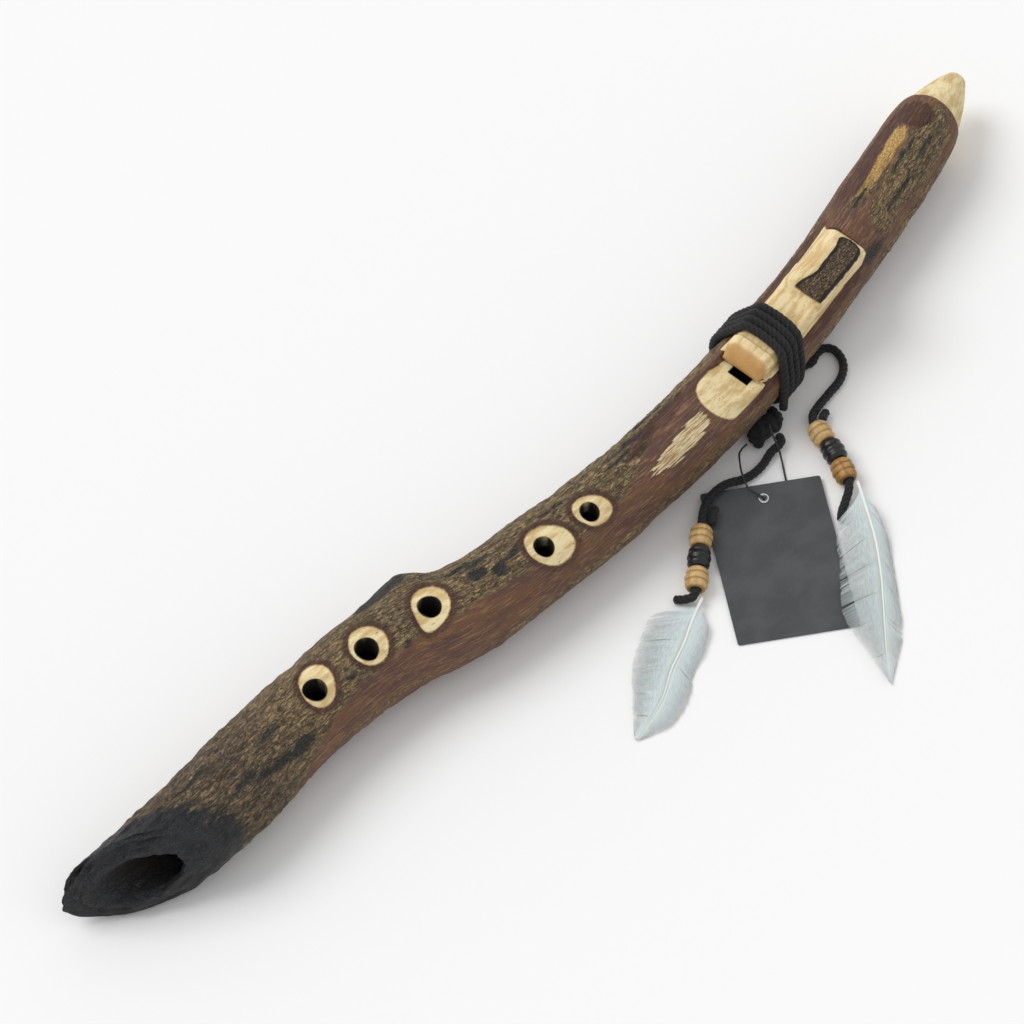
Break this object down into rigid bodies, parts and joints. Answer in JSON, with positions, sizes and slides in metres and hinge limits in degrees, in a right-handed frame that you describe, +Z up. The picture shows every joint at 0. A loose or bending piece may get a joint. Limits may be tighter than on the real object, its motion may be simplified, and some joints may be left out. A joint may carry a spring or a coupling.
{
  "type": "branch flute",
  "caption": "Crooked branch flute, split and glued, with a carved block tied over its window, beaded cord tails with feathers, and a plain swing tag.",
  "frame": {"origin": "middle of the flute's length and width, on the surface it lies on, measured without the cord tails, feathers and tag", "axes": "+X along the flute from the charred foot to the mouth, +Z up through the finger holes, the tails and tag lie on the -Y side"},
  "size_m": [0.6051, 0.1952, 0.0494],
  "materials": {
    "bark": "dry bark, charred at the foot, whittled pale at the mouth",
    "pale_wood": "carved bare wood, burnt edges round a patch of bark",
    "black_cord": "matt braided cord",
    "bead_pale": "satin turned wood",
    "bead_black": "black stained turned wood",
    "bead_ochre": "satin turned wood",
    "feather_white": "soft white vanes on a pale quill",
    "card": "matt dark grey card",
    "steel": "pressed and polished",
    "thread": "thin black string"
  },
  "bodies": {
    "flute": {"upper_half": "bark", "lower_half": "bark", "lashing": "black_cord", "lashing_knot": "black_cord", "tail_left": "black_cord", "tail_right": "black_cord", "tail_left_fold": "black_cord", "tail_right_fold": "black_cord", "feather_left": "feather_white", "feather_right": "feather_white", "tag_string": "thread"},
    "block": {"block": "pale_wood"},
    "tag": {"tag_card": "card", "tag_eyelet": "steel"},
    "bead_left_1": {"bead_left_1": "bead_pale"},
    "bead_left_2": {"bead_left_2": "bead_black"},
    "bead_left_3": {"bead_left_3": "bead_pale"},
    "bead_right_1": {"bead_right_1": "bead_pale"},
    "bead_right_2": {"bead_right_2": "bead_black"},
    "bead_right_3": {"bead_right_3": "bead_ochre"}
  },
  "joints": [
    {"name": "block_slide", "type": "slide", "parent": "flute", "child": "block", "axis": [0.9945, 0.1045, 0], "range_m": [-0.004, 0]},
    {"name": "tag_swing", "type": "hinge", "parent": "flute", "child": "tag", "pos_m": [0.0677, -0.0539, 0], "axis": [0, 0, 1], "range_deg": [0, 5]},
    {"name": "bead_left_1_spin", "type": "hinge", "parent": "flute", "child": "bead_left_1", "pos_m": [0.03076, -0.04833, 0.0058], "axis": [-0.8, -0.6, 0], "continuous": true},
    {"name": "bead_left_2_spin", "type": "hinge", "parent": "flute", "child": "bead_left_2", "pos_m": [0.0216, -0.0552, 0.0058], "axis": [-0.8054, -0.5928, 0], "continuous": true},
    {"name": "bead_left_3_spin", "type": "hinge", "parent": "flute", "child": "bead_left_3", "pos_m": [0.01232, -0.0619, 0.0058], "axis": [-0.8107, -0.5855, 0], "continuous": true},
    {"name": "bead_right_1_spin", "type": "hinge", "parent": "flute", "child": "bead_right_1", "pos_m": [0.11049, -0.05153, 0.0058], "axis": [-0.3401, -0.9404, 0], "continuous": true},
    {"name": "bead_right_2_spin", "type": "hinge", "parent": "flute", "child": "bead_right_2", "pos_m": [0.1066, -0.0623, 0.0058], "axis": [-0.4009, -0.9161, 0], "continuous": true},
    {"name": "bead_right_3_spin", "type": "hinge", "parent": "flute", "child": "bead_right_3", "pos_m": [0.10133, -0.07247, 0.0058], "axis": [-0.46, -0.8879, 0], "continuous": true}
  ]
}
